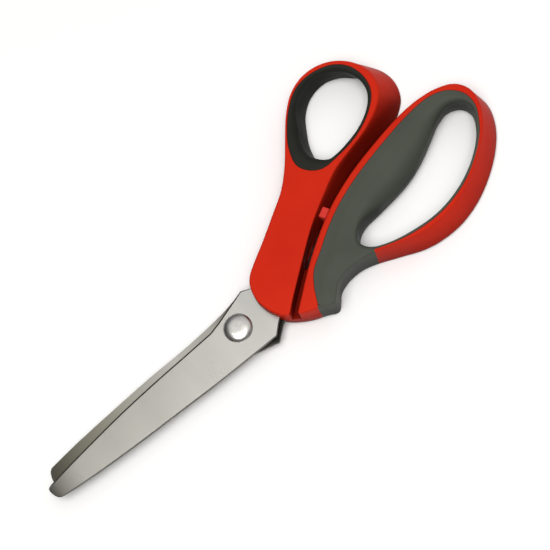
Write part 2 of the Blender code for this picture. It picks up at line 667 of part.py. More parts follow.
def inner_core(name, grow):
    """The rib of hard plastic inside the rubber: it joins the nose to both arms of the ring."""
    outline = [(-27, 12), (-30, 15.4), (-34.5, 17.2), (-37.5, 15.4), (-41, 12.8), (-46, 11.2), (-55, 11.4),
               (-62, 13.4), (-66, 16.4), (-63.2, 11.5), (-57.6, 9.8), (-57.0, 3.0), (-62, -2.6),
               (-74, -5.0), (-74, -15.4), (-60, -9.8), (-48, -3.6), (-37, 4.0), (-30, 9.0)]
    loop = np.array(outline)
    loop = loop + outward(loop) * grow
    height = FRONT - SKIN + grow
    return plate(name, [tuple(p) for p in loop], -height, height)


def main():
    global parts, cutters
    for old in list(bpy.data.objects):
        bpy.data.objects.remove(old)
    parts = bpy.data.collections.new(NAME)
    cutters = bpy.data.collections.new(NAME + "_cutters")
    for group in (parts, cutters):
        bpy.context.scene.collection.children.link(group)
    fixed = bpy.data.objects.new("rear_blade_frame", None)
    moving = bpy.data.objects.new("front_blade_pivot", None)
    for empty in (fixed, moving):
        empty.location = (PIVOT_X * MM, PIVOT_Y * MM, PIVOT_Z * MM)
        parts.objects.link(empty)
    red = material("red_plastic", RED, 0.4)
    grey = material("grey_rubber", GREY, 0.7)
    steel = material("satin_steel", STEEL, 0.35, 1.0)
    blade("front_blade", FRONT_BLADE, 1, steel, moving)
    blade("rear_blade", REAR_BLADE, -1, steel, fixed)
    pivot_pieces(steel, fixed)
    thumb_handle(red, grey, moving)
    finger_handle(red, grey, fixed)


main()
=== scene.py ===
"""Looks for the pinking shears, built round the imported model.

Outlines are millimetres about the pivot: +X runs to the blade tips, +Y to the finger handle and +Z to
the domed head of the bolt. Each handle is a stack of rows down its walls, from the front face to the
back one, and crowned faces that close both ends.
"""

import json
import math

import bmesh
import bpy
import numpy as np
from mathutils import Matrix, Vector
from mathutils.geometry import delaunay_2d_cdt


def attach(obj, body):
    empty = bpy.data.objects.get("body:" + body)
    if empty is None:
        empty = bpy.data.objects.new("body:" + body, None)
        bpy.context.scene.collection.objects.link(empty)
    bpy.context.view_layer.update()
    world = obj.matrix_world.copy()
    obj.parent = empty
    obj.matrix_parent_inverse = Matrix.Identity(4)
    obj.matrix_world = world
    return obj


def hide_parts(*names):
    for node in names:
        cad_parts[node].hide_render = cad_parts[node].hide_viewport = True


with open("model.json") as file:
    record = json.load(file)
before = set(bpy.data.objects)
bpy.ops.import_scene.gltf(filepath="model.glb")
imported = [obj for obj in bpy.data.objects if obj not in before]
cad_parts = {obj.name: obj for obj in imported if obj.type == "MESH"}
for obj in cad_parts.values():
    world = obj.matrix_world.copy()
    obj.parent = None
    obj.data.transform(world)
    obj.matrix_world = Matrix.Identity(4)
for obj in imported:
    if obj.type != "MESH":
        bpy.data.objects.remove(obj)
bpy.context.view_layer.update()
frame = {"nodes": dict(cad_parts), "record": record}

MM = 0.001
PIVOT = Vector(frame["record"]["behaviour"]["joints"][0]["pos_m"])

# ---- camera: about the pivot, in millimetres ----
CAMERA_AT = (16.99, 206.54, 612.17)
CAMERA_RIGHT = (-0.7532, 0.6355, -0.17)
CAMERA_UP = (-0.6545, -0.6982, 0.29)
CAMERA_BACK = (0.0656, 0.3297, 0.9418)
LENS = 104.5
SENSOR = 36.0
CLIP_START = 0.05

# ---- light, in metres: the room is brightest about one direction and falls off from it ----
SKY_TOP = (-0.45, 0.0, 0.89)
SKY_LIGHT = (0.07, 0.40, 0.2, 0.95)  # far side, brightest, and the cosines between which it changes
SKY_COLOUR = (1.0, 1.0, 1.0, 1.0)
KEY_AT = (0.22, 0.30, 1.39)
KEY_SIZE = (0.85, 0.85)
KEY_POWER = 16.2
KEY_COLOUR = (1.0, 0.985, 0.965)
FILL_AT = (-0.42, -0.1, 1.2)
FILL_SIZE = (1.6, 2.0)
FILL_POWER = 4.6
FLOOR_SIZE = 4.0
FLOOR_TONES = (0.955, 0.97)
FLOOR_MOTTLE = (3.0, 2.0)  # scale and detail
FLOOR_ROUGHNESS = 0.75
FLOOR_SPECULAR = 0.2

# ---- handles ----
FRONT = 8.0
BACK = -8.0
THUMB_SHELF = 0.4  # where a handle's wall steps from its front outline to its back one
FINGER_SHELF = -0.2
SHELF_FALL = 0.2  # how much further down the back outline starts
SAMPLES = 5  # outline samples for each span of an outline
EDGE_ROWS = 5  # rows of faces round a rounded edge, and round the roll into a hole
ROLL_ROWS = 12
MIDDLE_ROWS = 4
CORE_SEAM_ROWS = 2
SOFT_SEAM_ROWS = 3
FACE_SPACING = 1.7  # between inner points of a crowned face
LATTICE_ROW = 0.866  # from one row of inner points to the next, for each unit of spacing
LATTICE_CLEAR = 0.6  # of the spacing, the least between an inner point and a rim
MERGE = 1e-5  # rim points closer than this are one
NO_LENGTH = 1e-6  # stands in for the length of a curve's span whose ends meet
PARTING_GAP = 0.05  # between core and rubber at their parting line
STILL = (0.0, 0.0)
LEAN_CURVE = 1.1  # the walls start out upright at the front and lean more and more
THUMB_SPAN = (-40.0, -64.0)  # the stretch of arm over which the ring's lean and flares set in
THUMB_LEAN = (-7.2, 2.9)  # how far the ring's back stands from its front
THUMB_PALM_FLARE = (3.5, -3.0)  # how far more the walls that face this way spread to the back
THUMB_OUTER_FLARE = (-1.4, 0.0)
FINGER_SPAN = (-52.0, -85.0)
FINGER_FLARE = (-4.0, 4.4)
FINGER_HOLE_FLARE = (-0.5, -2.2)
GAP_SPAN = (-75.0, -18.0)  # the stretch of thumb arm that lies along the finger handle
THUMB_EDGE = (1.0, 0.45)  # the outer wall's front edge, and how much less it is along that stretch
THUMB_BACK_EDGE = (2.5, 1.7)
FINGER_EDGE = (0.95, 0.35)  # the outer wall's front edge, and how much less it is in the notch
FINGER_BACK_EDGE = 2.5
CORE_SEAM = (0.12, 0.2)  # front and back edges of a core beside its rubber
SOFT_SEAM = (0.2, 0.3)  # front and back edges of the rubber there
WALL_BULGE = 0.15  # how far a wall swells between its edges
LINER_BULGE = 0.35
GRIP_BULGE = 0.3
LINER_RIM = 0.45  # rubber left in front between the parting line and the roll into the thumb hole
LINER_ROLL = 3.6  # the widest that this roll may be
LINER_ROLL_DROP = 1.15  # the roll's depth for each unit of its width
GRIP_ROLL = (0.9, 10.5)  # the roll on the outer arm, and how much wider it may be on the palm
GRIP_ROLL_SHARE = 1.5  # of the room beside the hole, the most that the roll may take
GRIP_ROLL_PASSES = 8
HOLE_BACK_EDGE = 1.8  # the widest back edge of either hole
THUMB_CROWN = (0.3, 8.0)  # how far a face rises, and how far from its rim it does so
FINGER_CROWN = (0.15, 4.0)
GRIP_CROWN = (1.0, 8.0)
EDGE_SHARE = 0.75  # of the room inside a wall, the most that a rounded edge may take
EDGE_TAPER = 0.35  # how fast a rounded edge may narrow, per length of outline
AHEAD = 1e-3  # how far into the material a point lies before it limits an edge
FAR = 1e3  # the room where nothing limits an edge

THUMB_NOSE = [(-37.2, -2.1), (-30, 3.1), (-24, 7.5), (-19.8, 10.7), (-18.4, 11.4), (-17.1, 10.6),
              (-15.3, 8), (-13.6, 4), (-12.8, -1), (-13.3, -5), (-14.8, -9), (-17.3, -12), (-21, -14.4)]
THUMB_WEDGE = [(-37.2, -2.5), (-34, -4.7), (-31.5, -6.6), (-29, -8.4), (-27, -9.9), (-25.2, -11.2),
               (-23.8, -12.3), (-22.7, -13.1), (-21.9, -13.7), (-21.6, -14.5), (-22.4, -15.1),
               (-23.6, -15.8), (-25, -16.6)]
THUMB_REST = [(-31, -19.8), (-40, -25), (-50, -31), (-57, -37.2), (-65, -46), (-73, -54.8), (-81, -61.0),
              (-90, -63.6), (-99, -62), (-106, -57), (-110, -50), (-110.6, -43), (-107.5, -35.6),
              (-101, -30.6), (-92, -26.9), (-82, -24.7), (-72, -22.3), (-62, -17.6), (-50, -11)]
THUMB_HOLE = [(-68.4, -36.6), (-69.8, -32.3), (-72.8, -29.2), (-78, -27.9), (-85, -28.6), (-92, -30.4),
              (-99, -34.2), (-103.6, -39.5), (-105, -46), (-103, -53), (-98, -58), (-91.5, -60.3),
              (-84.5, -59.2), (-78, -55.0), (-72.8, -47.9), (-69.6, -42.1)]
THUMB_PARTING = [(-61.9, -34.7), (-64.3, -29.4), (-69, -26.2), (-77, -26.0), (-85, -26.8), (-92, -28.7),
                 (-100, -32.8), (-105.6, -38.2), (-107.7, -45.5), (-106.2, -53.4), (-101, -59.0),
                 (-91.5, -61.9), (-83.4, -60.9), (-76, -56.4), (-69.4, -49.8), (-64.4, -42.8)]

FINGER_WEDGE = [(-37.2, 1.6), (-34, 3.9), (-31.5, 5.7), (-29, 7.6), (-27, 9.1), (-25.2, 10.4),
                (-23.8, 11.5), (-22.8, 12.4), (-22, 13.2), (-22, 14.0), (-22.9, 14.6), (-23.9, 15.1),
                (-25, 15.6)]
FINGER_NOSE = [(-37.2, -0.6), (-30, -5.0), (-24, -9.2), (-20.4, -11.6), (-18.6, -12.0), (-17.2, -11),
               (-15.4, -8), (-14.2, -4), (-13.8, 1), (-14.7, 5.3), (-16.6, 8.8), (-20.3, 12.4), (-25, 15.6)]
FINGER_REST = [(-31.5, 18.5), (-34.2, 19.8), (-36, 19.8), (-38.2, 18.0), (-41, 15.4), (-45, 13.8),
               (-50, 13.3), (-55, 13.8), (-61, 15.2), (-68, 17.8), (-77, 21), (-86, 22.5), (-95, 22.2),
               (-105, 19.6), (-115, 14.8), (-124, 8.6), (-130.5, 2), (-134.4, -5), (-135.2, -11),
               (-132.4, -16.8), (-125, -20.7), (-115, -22.3), (-105, -22), (-90, -19.8), (-75, -16.6),
               (-60, -11.4), (-48, -5.2)]
FINGER_HOLE = [(-59.3, 8.0), (-61.0, 4.0), (-66, 1.7), (-74, 1.7), (-83, 1.5), (-92, 0.2), (-101, -2.6),
               (-110, -6.8), (-118, -10.6), (-124, -11.7), (-129, -9.3), (-130.6, -4.5), (-128.3, 0.3),
               (-122, 7.6), (-113, 13.8), (-102, 18.2), (-90, 20), (-78, 18.8), (-67.8, 16.1),
               (-61.9, 12.8)]
# from beside the outer arm's end, round the ring and up the slant to the notch's front corner
FINGER_PARTING = [(-61.9, 14.5), (-67.6, 17.0), (-77.8, 19.9), (-90, 21.1), (-102.3, 19.3), (-113.6, 14.9),
                  (-122.8, 8.8), (-129.4, 1.2), (-132.3, -4.5), (-132.2, -11), (-128, -16.7), (-121, -19.6),
                  (-110, -19.8), (-95, -17.8), (-80, -14.9), (-70, -12.2), (-60, -8.4), (-52, -4.3),
                  (-45, 0), (-38, 4.2), (-33.5, 9.6), (-30.9, 14.2), (-29.5, 16.8)]
SLANT_SPANS = 6  # of the parting line, at its end, that run up the slant and away from the hole
NOTCH_FROM = 12 * SAMPLES + 3  # outline samples where the grip takes over from the core, and gives back
NOTCH_TO = 21 * SAMPLES
NOTCH_EASE = 6  # samples over which the notch's smaller edge sets in

# ---- blades ----
PLATE = 1.6  # thickness of each blade
BODY_GAP = 2.6  # between the blades' inner faces
INNER = BODY_GAP / 2
OUTER = INNER + PLATE
TOOTH_PITCH = 4.0
TOOTH_RISE = 1.0  # each tooth stands this far either side of the middle plane
TOOTH_CLEARANCE = 0.3
BAND = 6.2  # width of the toothed band along a cutting edge
BAND_COVER = 0.85  # of the width that the blades share, at most
TEETH_FROM = 12.0
TEETH_TO = 88.0
CREST_FROM = 8.0  # the corrugated cutter's first crest, and how far it runs on past the teeth
CREST_BEYOND = 12.0
CUTTER_STEPS = 240
CUTTER_REACH = 5.0  # how far cutters stand off the middle plane
RELIEF_REACH = 6.0
CUTTER_ENDS = (-70.0, 110.0)
CUTTER_SIDE = 45.0
BLANK_SPARE = 0.4  # thickness of the blank beyond the teeth's crests
FRONT_TIP = (1.2, 84.0, 16.0)  # how deep the tip is ground, from how far out, and over what length
REAR_TIP = (0.7, 80.0, 15.0)
BEVEL_WIDTH = (0.14, 0.62)  # along the spine, and how much more along the shoulder and cutting edge
BEVEL_DROP = (0.12, 0.30)
SPINE_SAMPLES = 6
EDGE_SAMPLES = 8
TIP_SAMPLES = 5
BLADE_SPACING = 2.4  # between inner points of the outer face
INNER_SPACING = 30.0  # so wide that the blank's inner face has almost no inner points
BLADE_SHARP = 25.0  # degrees between faces from which an edge is shaded sharp
FLAT_ABOVE = 0.99999  # faces this level are shaded flat
WALLS_BELOW = 0.95  # faces less level than this have the edges' steel, dark with painted shade
INNER_BELOW = -0.3  # faces that look this far inwards have the inner faces' steel, with painted shade
FRONT_BLADE = {
    "spine": [(95.8, 4.8), (90, 5.8), (80, 7.1), (60, 9.0), (40, 10.4), (20, 11.8), (-9.5, 13.0)],
    "edge": [(10, -6.2), (25, -6.1), (40, -6.0), (60, -5.3), (80, -3.8), (97, -2.3)],
    "tip": [(99.2, -1.5), (99.2, 1.5), (97.9, 4.0)],
    "shoulder": [(-10.5, -11.3), (-5, -9.9), (0, -8.6), (5, -7.2)],
    "heel": [(-13.5, 9.5), (-18.5, 6.0), (-22, 0), (-18.5, -7.0), (-14, -9.6)],
}
REAR_BLADE = {
    "spine": [(93.6, -8.5), (80, -9.4), (60, -9.9), (40, -10.1), (20, -9.7), (0, -10.6), (-10.5, -12.4)],
    "edge": [(10, 9.2), (25, 7.8), (40, 6.2), (60, 4.3), (80, 1.7), (94.5, -1.4)],
    "tip": [(96.2, -2.8), (96.1, -4.8), (94.7, -7.7)],
    "shoulder": [(-8.8, 14.6), (-3, 12.9), (2, 11.5), (6, 10.2)],
    "heel": [(-14.5, -8.0), (-18.5, -5.0), (-22, 2.0), (-20.5, 8.0), (-15.7, 9.4)],
}

# ---- pivot ----
HEAD_RADIUS = 6.0
HEAD_RISE = 1.8
HEAD_RIM = 0.5
HEAD_CURVE = 4.5  # a broad crown that turns down ever faster towards its rim
HEAD_STEPS = 30
HEAD_ROUND = 0.35  # radius of its rim
HEAD_ROUND_STEPS = 5
SHANK_RADIUS = 3.0
HOLE_RADIUS = 3.2
GAP = 0.3  # between neighbouring pieces
SPACER_RADIUS = 7.0
FLAT_WASHER = (5.6, 0.7)  # radius, thickness
WAVE_WASHER = (0.4, 0.25)  # thickness, wave height
NUT = (4.8, 1.9)  # radius, thickness
NUT_SLOT = (2.0, 1.4, 1.6)  # along, across and deep, about a point on the rim of the nut's face
RING_ROUND = 0.22  # radius of the corners of washers and nut
TAIL_CHAMFER = 0.3
CORNER_SHARE = 0.45  # of a side, the most that a rounded corner may take
ROUND = 96
PIVOT_SHARP = 50.0

# ---- bumper ----
BUMPER_AT = (-57.05, -12.9, 0.5)
BUMPER_TURN = 28.8  # degrees
BUMPER_SIZE = (4.6, 4.2, 9.0)
BUMPER_ROUND = 0.5
BUMPER_HOLLOW = 0.25  # how far its two end faces sink in the middle
BUMPER_ENDS = 3.9  # points beyond this height are on an end face

# ---- surfaces: a noise is (scale, detail), and a bump (distance, strength) ----
NOISE_SPAN = (0.3, 0.7)  # where most of a noise's values lie
MOTTLE = (55.0, 4.0)
GLOSS = (140.0, 5.0)
RIPPLE = (40.0, 1.0)
RIPPLE_BUMP = (0.1, 0.03)
GRAIN_DETAIL = 2.0
SHADE_REACH = 18.0  # how far off another surface still counts as near, for the painted shade
SHADE_OPENNESS = (0.45, 0.97)  # how open a spot is, where its painted shade is deepest and where the colour is plain
STEEL_MOTTLE = (30.0, 3.0)
STEEL_GLOSS = (60.0, 3.0)
STEEL_STRETCH = (2.0, 0.6, 1.0)
BOLT_MOTTLE = (400.0, 4.0)
BOLT_DULLER = 0.88
TURNING_SCALE = 700.0
TURNING_WOBBLE = 1.5
TURNING_BUMP = (0.01, 0.25)


# ---- curves ----


def through(points, per_span, closed=True):
    """Samples of a Catmull-Rom curve through the points, spaced by their centripetal distance."""
    pts = np.array(points, float)
    count = len(pts)
    out = []
    for i in range(count if closed else count - 1):
        if closed:
            quad = [pts[(i + k) % count] for k in (-1, 0, 1, 2)]
        else:
            quad = [pts[min(max(i + k, 0), count - 1)] for k in (-1, 0, 1, 2)]
        out.extend(span(quad, per_span))
    if not closed:
        out.append(pts[-1])
    return np.array(out)


def span(quad, steps):
    """The stretch between the middle two of four points."""
    p0, p1, p2, p3 = quad
    t1 = math.sqrt(np.linalg.norm(p1 - p0)) or NO_LENGTH
    t2 = t1 + math.sqrt(np.linalg.norm(p2 - p1))
    t3 = t2 + (math.sqrt(np.linalg.norm(p3 - p2)) or NO_LENGTH)
    made = []
    for k in range(steps):
        t = t1 + (t2 - t1) * k / steps
        a1 = p0 * (t1 - t) / t1 + p1 * t / t1
        a2 = p1 * (t2 - t) / (t2 - t1) + p2 * (t - t1) / (t2 - t1)
        a3 = p2 * (t3 - t) / (t3 - t2) + p3 * (t - t2) / (t3 - t2)
        b1 = a1 * (t2 - t) / t2 + a2 * t / t2
        b2 = a2 * (t3 - t) / (t3 - t1) + a3 * (t - t1) / (t3 - t1)
        made.append(b1 * (t2 - t) / (t2 - t1) + b2 * (t - t1) / (t2 - t1))
    return made


def smoothstep(value):
    """0 to 1 as the value goes from 0 to 1, level at both ends."""
    value = np.clip(value, 0, 1)
    return value * value * (3 - 2 * value)


def signed_area(loop):
    """The area that a closed loop encloses, negative if the loop runs clockwise."""
    x, y = loop[:, 0], loop[:, 1]
    return 0.5 * np.sum(x * np.roll(y, -1) - np.roll(x, -1) * y)


def outward(loop):
    """Unit normals of a closed loop, away from what it encloses."""
    tangent = np.roll(loop, -1, 0) - np.roll(loop, 1, 0)
    tangent /= np.linalg.norm(tangent, axis=1)[:, None]
    return np.stack([tangent[:, 1], -tangent[:, 0]], 1) * np.sign(signed_area(loop))


def lean_of(loop, between, lean, *flares):
    """How far each point of a closed loop stands at the back from where it is at the front: the whole
    loop shifts by lean, and the walls that face along a flare stand out by it."""
    start, end = between
    share = smoothstep((loop[:, 0] - start) / (end - start))[:, None]
    normal = outward(loop)
    spread_out = sum(np.maximum(normal @ flare, 0)[:, None] * normal for flare in flares)
    return share * (np.array(lean) + spread_out)


def room_inside(loop, into, *walls):
    """For each point, how far its edge may round off into the material and miss every wall."""
    steps = [wall + (np.roll(wall, -1, 0) - wall) * part for wall in walls for part in (0, 0.5)]
    apart = np.concatenate(steps)[None] - loop[:, None]
    ahead = np.einsum("ijk,ik->ij", apart, into)
    radius = np.sum(apart**2, 2) / (2 * np.maximum(ahead, AHEAD))
    room = EDGE_SHARE * np.where(ahead > AHEAD, radius, FAR).min(1)
    along = np.linalg.norm(loop[:, None] - loop[None], axis=2)
    return (room[None] + EDGE_TAPER * along).min(1)


def soften(values, passes=4):
    """Evens out a value that runs round a closed loop."""
    for _ in range(passes):
        values = (np.roll(values, 1) + 2 * values + np.roll(values, -1)) / 4
    return values


# ---- runs of wall ----


class Run:
    """Points along a wall, above and below the shelf, with the way into the material, how far the
    wall leans over its whole depth, and the size of its front and back edges."""

    FIELDS = ("above", "below", "into_above", "into_below", "lean_above", "lean_below", "front", "back")

    def __init__(self, **values):
        for field in self.FIELDS:
            setattr(self, field, np.array(values[field], float))

    def part(self, start, end):
        """From one sample to another, both included, round the loop's end if need be."""
        count = len(self.above)
        picked = [i % count for i in range(start, end + 1 + (count if end < start else 0))]
        return Run(**{field: getattr(self, field)[picked] for field in self.FIELDS})

    def reversed(self):
        """The same wall, run the other way."""
        return Run(**{field: getattr(self, field)[::-1] for field in self.FIELDS})

    def at(self, z, inset, upper):
        """The wall's points at a height, moved into the material by the inset."""
        base, into, lean = (
            (self.above, self.into_above, self.lean_above)
            if upper
            else (self.below, self.into_below, self.lean_below)
        )
        depth = (((FRONT - z) / (FRONT - BACK)) ** LEAN_CURVE)[:, None]
        return base + lean * depth + into * np.reshape(inset, (-1, 1))


def join(*runs):
    """One run made of several, end to end."""
    return Run(**{field: np.concatenate([getattr(run, field) for run in runs]) for field in Run.FIELDS})


def plain_run(points, into, lean, front, back):
    """A run that is the same above and below the shelf."""
    size = np.ones(len(points))
    return Run(above=points, below=points, into_above=into, into_below=into, lean_above=lean,
               lean_below=lean, front=size * front, back=size * back)


def rows_down(run, shelf, front_rows=EDGE_ROWS, drop=1.0, bulge=0.0):
    """(points, heights) from the front face's rim to the back one's."""
    rows = []
    top = FRONT - run.front * drop
    low = BACK + run.back

    def swell(z):
        return -bulge * np.sin(np.pi * np.clip((top - z) / (top - low), 0, 1))

    for k in range(front_rows + 1):
        angle = math.pi / 2 * (1 - k / front_rows)
        z = FRONT - run.front * drop * (1 - math.sin(angle))
        rows.append((run.at(z, run.front * (1 - math.cos(angle)), True), z))
    for k in range(1, MIDDLE_ROWS + 1):
        z = top + (shelf - top) * k / MIDDLE_ROWS
        rows.append((run.at(z, swell(z), True), z))
    for k in range(MIDDLE_ROWS + 1):
        z = (shelf - SHELF_FALL) + (low - shelf + SHELF_FALL) * k / MIDDLE_ROWS
        rows.append((run.at(z, swell(z), False), z))
    for k in range(1, EDGE_ROWS + 1):
        angle = math.pi / 2 * k / EDGE_ROWS
        z = BACK + run.back * (1 - math.sin(angle))
        rows.append((run.at(z, run.back * (1 - math.cos(angle)), False), z))
    return rows


# ---- meshes ----


def wall(mesh, rows):
    """Quads down a stack of closed rows. Returns the first and last row of vertices."""
    grid = [[mesh.verts.new((x, y, z)) for (x, y), z in zip(loop, heights)] for loop, heights in rows]
    for a, b in zip(grid, grid[1:]):
        for i in range(len(a)):
            j = (i + 1) % len(a)
            mesh.faces.new((a[i], a[j], b[j], b[i]))
    return grid[0], grid[-1]


def inside(points, loop):
    """Which points a closed loop encloses."""
    a, b = loop, np.roll(loop, -1, 0)
    x, y = points[:, :1], points[:, 1:]
    straddles = (a[:, 1] > y) != (b[:, 1] > y)
    rise = np.where(b[:, 1] == a[:, 1], 1e-9, b[:, 1] - a[:, 1])
    crosses = x < (b[:, 0] - a[:, 0]) * (y - a[:, 1]) / rise + a[:, 0]
    return (np.sum(straddles & crosses, 1) % 2) == 1


def fill(mesh, rims, height, spacing=FACE_SPACING):
    """Closes the space between rims of vertices, with inner points at height(x, y, distance from a rim)."""
    loops = [np.array([(v.co.x, v.co.y) for v in rim]) for rim in rims]
    border = np.concatenate(loops)
    low, high = border.min(0), border.max(0)
    ys = np.arange(low[1], high[1], spacing * LATTICE_ROW)
    lattice = [(x + (spacing / 2 if row % 2 else 0), y)
               for row, y in enumerate(ys) for x in np.arange(low[0], high[0], spacing)]
    lattice = np.array(lattice)
    within = inside(lattice, loops[0])
    for loop in loops[1:]:
        within &= ~inside(lattice, loop)
    lattice = lattice[within]
    apart = np.linalg.norm(lattice[:, None] - border[None], axis=2).min(1)
    clear = apart > spacing * LATTICE_CLEAR
    lattice, apart = lattice[clear], apart[clear]
    verts = [v for rim in rims for v in rim]
    verts += [mesh.verts.new((x, y, height(x, y, d))) for (x, y), d in zip(lattice, apart)]
    edges, start = [], 0
    for loop in loops:
        count = len(loop)
        edges += [(start + i, start + (i + 1) % count) for i in range(count)]
        start += count
    flat = [Vector((v.co.x, v.co.y)) for v in verts]
    out, _, faces, origins, _, _ = delaunay_2d_cdt(flat, edges, [], 1, MERGE)
    places = np.array([(v.x, v.y) for v in out])
    centres = np.array([places[list(face)].mean(0) for face in faces])
    keep = inside(centres, loops[0])
    for loop in loops[1:]:
        keep &= ~inside(centres, loop)
    for face, kept in zip(faces, keep):
        if kept and all(origins[i] for i in face):
            mesh.faces.new([verts[origins[i][0]] for i in face])


def crown(base, rise=0.0, reach=1.0):
    """Heights of a face that rises from its rims, or of a level one."""
    return lambda x, y, d: base + rise * float(smoothstep(d / reach))


def finish(name, mesh, surface, body, node, sharp=40.0):
    """Makes the piece from a mesh in millimetres about the pivot, hangs it under its body and hides the
    imported part that it stands for.
    """
    bmesh.ops.recalc_face_normals(mesh, faces=mesh.faces)
    if mesh.calc_volume(signed=True) < 0:
        bmesh.ops.reverse_faces(mesh, faces=mesh.faces)
    mesh.transform(Matrix.Translation(PIVOT) @ Matrix.Diagonal((MM, MM, MM, 1)))
    data = bpy.data.meshes.new(name)
    mesh.to_mesh(data)
    mesh.free()
    data.materials.append(surface)
    data.shade_smooth()
    data.set_sharp_from_angle(angle=math.radians(sharp))
    made = bpy.data.objects.new(name, data)
    bpy.context.scene.collection.objects.link(made)
    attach(made, body)
    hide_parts(node)
    return made


# ---- materials ----


def new_material(name, roughness, metallic=0.0, specular=0.5):
    """A material with the constants set on its shader."""
    made = bpy.data.materials.new(name)
    made.use_nodes = True
    shader = made.node_tree.nodes["Principled BSDF"]
    shader.inputs["Roughness"].default_value = roughness
    shader.inputs["Metallic"].default_value = metallic
    shader.inputs["Specular IOR Level"].default_value = specular
    return made


def noise(tree, scale, detail, stretch=(1, 1, 1)):
    """A noise value over the object's own coordinates."""
    where = tree.nodes.new("ShaderNodeTexCoord")
    place = tree.nodes.new("ShaderNodeMapping")
    place.inputs["Scale"].default_value = stretch
    made = tree.nodes.new("ShaderNodeTexNoise")
    made.inputs["Scale"].default_value = scale
    made.inputs["Detail"].default_value = detail
    tree.links.new(where.outputs["Object"], place.inputs["Vector"])
    tree.links.new(place.outputs["Vector"], made.inputs["Vector"])
    return made.outputs["Fac"]


def ramp(tree, value, *stops):
    """A colour that the value picks between stops, each (value, colour)."""
    made = tree.nodes.new("ShaderNodeValToRGB")
    elements = made.color_ramp.elements
    for _ in stops[2:]:
        elements.new(1.0)
    for element, (position, colour) in zip(elements, stops):
        element.position = position
        element.color = (*colour, 1)
    tree.links.new(value, made.inputs["Fac"])
    return made.outputs["Color"]


def mottled(tree, value, low, high):
    """A colour between two, picked by a noise value."""
    start, end = NOISE_SPAN
    return ramp(tree, value, (start, low), (end, high))


def spread(tree, value, low, high, start=NOISE_SPAN[0], end=NOISE_SPAN[1]):
    """A number that runs from low to high as the value passes between start and end."""
    made = tree.nodes.new("ShaderNodeMapRange")
    made.inputs["From Min"].default_value = start
    made.inputs["From Max"].default_value = end
    made.inputs["To Min"].default_value = low
    made.inputs["To Max"].default_value = high
    tree.links.new(value, made.inputs["Value"])
    return made.outputs["Result"]


def bumps(tree, layers):
    """Bump nodes in a chain: (value, distance in mm, strength)."""
    last = None
    for value, distance, strength in layers:
        made = tree.nodes.new("ShaderNodeBump")
        made.inputs["Distance"].default_value = distance * MM
        made.inputs["Strength"].default_value = strength
        tree.links.new(value, made.inputs["Height"])
        if last:
            tree.links.new(last, made.inputs["Normal"])
        last = made.outputs["Normal"]
    tree.links.new(last, tree.nodes["Principled BSDF"].inputs["Normal"])


def painted_shade_near(tree, colour, share):
    """The colour with painted shade: darker by up to a share where other surfaces are near, as in gaps and
    low on walls.
    """
    near = tree.nodes.new("ShaderNodeAmbientOcclusion")
    near.inputs["Distance"].default_value = SHADE_REACH * MM
    made = tree.nodes.new("ShaderNodeVectorMath")
    made.operation = "SCALE"
    tree.links.new(colour, made.inputs["Vector"])
    depth = spread(tree, near.outputs["AO"], 1 - share, 1.0, *SHADE_OPENNESS)
    tree.links.new(depth, made.inputs["Scale"])
    return made.outputs["Vector"]


def moulded(name, low, high, rough, grain, shade_share, specular):
    """Moulded plastic or rubber, with slow changes of colour and gloss and a fine surface grain, which is
    (scale, distance, strength). The share after the grain is how far painted shade darkens the colour where
    other surfaces stand closest."""
    made = new_material(name, rough[0], specular=specular)
    tree = made.node_tree
    shader = tree.nodes["Principled BSDF"]
    colour = mottled(tree, noise(tree, *MOTTLE), low, high)
    # the base colour carries painted shade where other surfaces stand close
    tree.links.new(painted_shade_near(tree, colour, shade_share), shader.inputs["Base Color"])
    tree.links.new(spread(tree, noise(tree, *GLOSS), *rough), shader.inputs["Roughness"])
    scale, depth, strength = grain
    ripple = (noise(tree, *RIPPLE), *RIPPLE_BUMP)
    bumps(tree, [ripple, (noise(tree, scale, GRAIN_DETAIL), depth, strength)])
    return made


def ground_steel(name, rough, *stops, along=None):
    """Satin steel whose gloss wanders across the blade. Its colour varies slowly between the stops, or runs
    through them between two distances from the pivot along the blade, which is how the blade steels below
    get their painted shade."""
    made = new_material(name, rough[0], metallic=1.0)
    tree = made.node_tree
    shader = tree.nodes["Principled BSDF"]
    if along:
        where = tree.nodes.new("ShaderNodeTexCoord")
        axes = tree.nodes.new("ShaderNodeSeparateXYZ")
        tree.links.new(where.outputs["Object"], axes.inputs["Vector"])
        value = spread(tree, axes.outputs["X"], 0.0, 1.0, *(PIVOT.x + x * MM for x in along))
    else:
        value = noise(tree, *STEEL_MOTTLE)
    tree.links.new(ramp(tree, value, *stops), shader.inputs["Base Color"])
    gloss = noise(tree, *STEEL_GLOSS, stretch=STEEL_STRETCH)
    tree.links.new(spread(tree, gloss, *rough), shader.inputs["Roughness"])
    return made


def turned_steel(name, colour, rough):
    """Bright steel with the rings that turning leaves about the pivot."""
    made = new_material(name, rough[0], metallic=1.0)
    tree = made.node_tree
    shader = tree.nodes["Principled BSDF"]
    where = tree.nodes.new("ShaderNodeTexCoord")
    shift = tree.nodes.new("ShaderNodeMapping")
    shift.inputs["Location"].default_value = -PIVOT
    rings = tree.nodes.new("ShaderNodeTexWave")
    rings.wave_type = "RINGS"
    rings.rings_direction = "Z"
    rings.inputs["Scale"].default_value = TURNING_SCALE
    rings.inputs["Distortion"].default_value = TURNING_WOBBLE
    tree.links.new(where.outputs["Object"], shift.inputs["Vector"])
    tree.links.new(shift.outputs["Vector"], rings.inputs["Vector"])
    slow = noise(tree, *BOLT_MOTTLE)
    duller = [c * BOLT_DULLER for c in colour]
    tree.links.new(mottled(tree, slow, duller, colour), shader.inputs["Base Color"])
    tree.links.new(spread(tree, slow, *rough), shader.inputs["Roughness"])
    bumps(tree, [(rings.outputs["Fac"], *TURNING_BUMP)])
    return made
